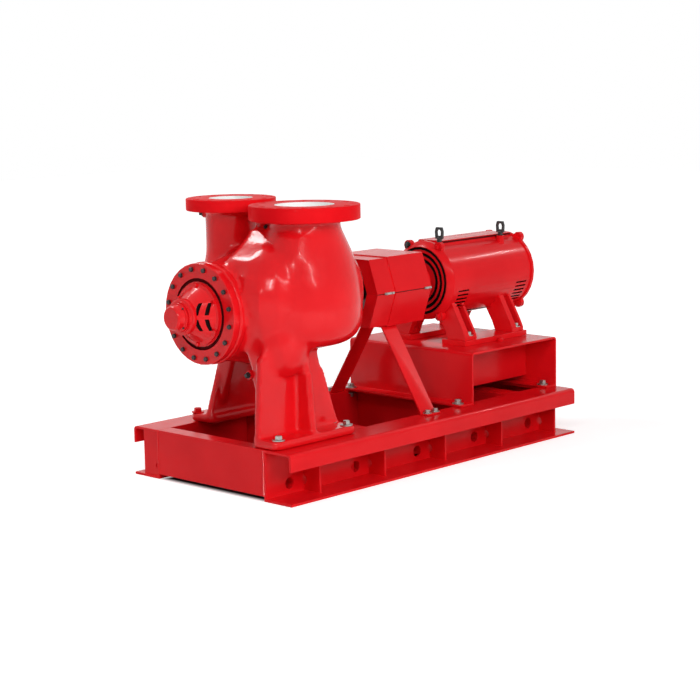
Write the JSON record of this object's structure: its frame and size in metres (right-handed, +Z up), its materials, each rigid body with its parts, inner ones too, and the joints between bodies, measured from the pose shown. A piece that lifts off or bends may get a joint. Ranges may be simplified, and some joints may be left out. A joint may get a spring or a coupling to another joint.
{
  "type": "split case pump",
  "caption": "Base-mounted split case pump with two upward flanged nozzles, coupling guard and electric motor on a channel steel base",
  "frame": {"origin": "on the floor under the middle of the whole set, in the plane of the shaft", "axes": "+X along the shaft from the pump towards the motor, +Y across it away from the suction nozzle, +Z up"},
  "size_m": [1.8, 0.792, 0.979],
  "materials": {
    "red_enamel": "gloss",
    "machined_steel": "satin",
    "black_steel": "satin",
    "sleeve_rubber": "matte"
  },
  "bodies": {
    "root": {"base_rail_near": "red_enamel", "base_rail_far": "red_enamel", "base_end_plate_pump": "red_enamel", "base_end_plate_motor": "red_enamel", "base_cross_member_1": "red_enamel", "base_cross_member_2": "red_enamel", "base_cross_member_3": "red_enamel", "casing": "red_enamel", "cover_plate_pump_end": "red_enamel", "cover_plate_drive_end": "red_enamel", "bearing_bracket_pump_end": "red_enamel", "bearing_bracket_drive_end": "red_enamel", "bearing_cap_pump_end": "red_enamel", "bearing_cap_drive_end": "red_enamel", "guard_upper": "red_enamel", "guard_lower": "red_enamel", "guard_leg_near": "red_enamel", "guard_leg_far": "red_enamel", "motor_riser": "red_enamel", "riser_web_near": "red_enamel", "riser_web_far": "red_enamel", "motor_pad_near": "red_enamel", "motor_pad_far": "red_enamel", "motor_frame": "red_enamel", "motor_bracket_drive_end": "red_enamel", "motor_bracket_rear": "red_enamel", "motor_terminal_box": "red_enamel", "pump_shaft": "machined_steel", "motor_shaft": "machined_steel", "coupling_hub_pump": "machined_steel", "coupling_hub_motor": "machined_steel", "lifting_eye_front": "black_steel", "lifting_eye_rear": "black_steel", "coupling_sleeve": "sleeve_rubber"}
  },
  "joints": []
}
